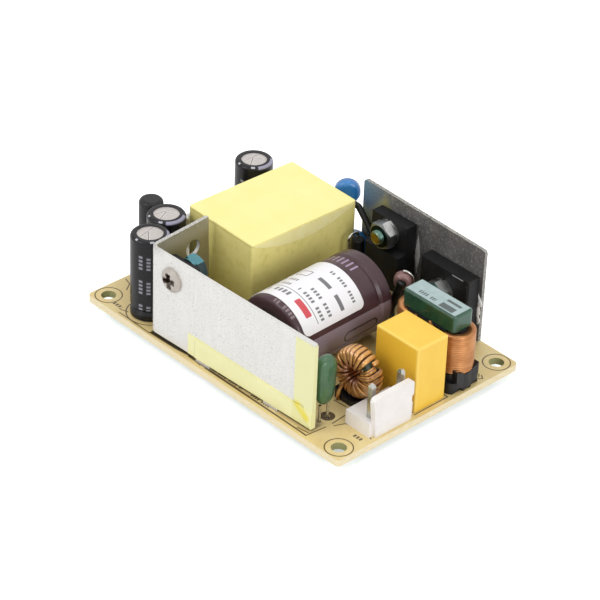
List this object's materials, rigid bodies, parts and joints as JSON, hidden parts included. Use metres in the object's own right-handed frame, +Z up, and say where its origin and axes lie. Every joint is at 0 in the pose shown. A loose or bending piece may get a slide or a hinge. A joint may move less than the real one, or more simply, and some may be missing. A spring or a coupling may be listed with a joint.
{
  "type": "open frame power supply",
  "caption": "Open frame switching power supply: a small circuit board with yellow transformer, lying capacitor, chokes, two sheet heat sinks and pin headers at both ends.",
  "frame": {"origin": "middle of the part's outline, halfway between the screw heads of the two heat sinks, on the surface that the solder tails stand on", "axes": "+X along the board towards the input connector, +Y towards the flat heat sink, +Z up from the board"},
  "size_m": [0.0762, 0.0518, 0.0271],
  "materials": {
    "board": "amber resin laminate with a fine weave and a cream cut edge",
    "solder": "bright solder",
    "package": "matt black moulding compound",
    "chip": "fired ceramic",
    "sheet": "satin rolled sheet with sheared edges",
    "dark_sheet": "smooth rolled sheet with sheared edges",
    "tape": "pale yellow polyester tape",
    "tinned": "tin plated wire",
    "pad": "grey silicone pad",
    "zinc": "bright zinc plate",
    "wrap": "glossy yellow polyester tape",
    "ferrite": "dull sintered ferrite",
    "black_moulding": "black phenolic moulding",
    "copper": "enamelled copper wire",
    "can": "drawn bare can",
    "plum_sleeve": "shrunk sleeve in dull plum",
    "dark_sleeve": "shrunk sleeve in near black",
    "black_rubber": "dense black rubber",
    "label": "smooth white label",
    "yellow_case": "smooth yellow moulded box",
    "green_core": "dark green coating",
    "choke_label": "pale blue grey film",
    "green_dip": "dipped green epoxy",
    "blue_dip": "dipped blue epoxy",
    "pink_dip": "dipped pink brown epoxy",
    "tubing": "black tubing",
    "nylon": "natural white nylon"
  },
  "bodies": {
    "root": {"bridge_rectifier": "package", "bridge_rectifier_leads": "tinned", "bulk_capacitor_bung": "black_rubber", "bulk_capacitor_can": "can", "bulk_capacitor_label": "label", "bulk_capacitor_leads": "tinned", "bulk_capacitor_sleeve": "plum_sleeve", "chip_parts": "chip", "choke_bobbin": "black_moulding", "choke_core": "green_core", "choke_label": "choke_label", "choke_winding_left": "copper", "choke_winding_right": "copper", "circuit_board": "board", "control_chip": "package", "disc_capacitor_lower": "blue_dip", "disc_capacitor_upper": "blue_dip", "heatsink_nuts": "zinc", "heatsink_screws": "zinc", "input_connector_housing": "nylon", "input_connector_pins": "tinned", "input_heatsink": "dark_sheet", "insulating_pads": "pad", "lead_sleeves": "tubing", "lock_washers": "zinc", "optocoupler": "package", "output_capacitor_bungs": "black_rubber", "output_capacitor_first_can": "can", "output_capacitor_first_sleeve": "dark_sleeve", "output_capacitor_leads": "tinned", "output_capacitor_second_can": "can", "output_capacitor_second_sleeve": "dark_sleeve", "output_capacitor_third_can": "can", "output_capacitor_third_sleeve": "dark_sleeve", "output_connector_housing": "nylon", "output_connector_pins": "tinned", "output_heatsink": "sheet", "output_heatsink_tape": "tape", "output_rectifier": "package", "output_rectifier_leads": "tinned", "rod_inductor": "dark_sleeve", "rod_inductor_leads": "tinned", "safety_capacitor": "yellow_case", "safety_capacitor_leads": "tinned", "small_part_leads": "tinned", "snubber_diode": "package", "solder_joints": "solder", "switching_transistor": "package", "switching_transistor_leads": "tinned", "thermistor": "pink_dip", "toroid_base": "black_moulding", "toroid_core": "green_core", "toroid_winding": "copper", "transformer_bobbin": "black_moulding", "transformer_core_far": "ferrite", "transformer_core_near": "ferrite", "transformer_pins": "tinned", "transformer_winding": "copper", "transformer_wrap": "wrap", "varistor": "green_dip"}
  },
  "joints": []
}
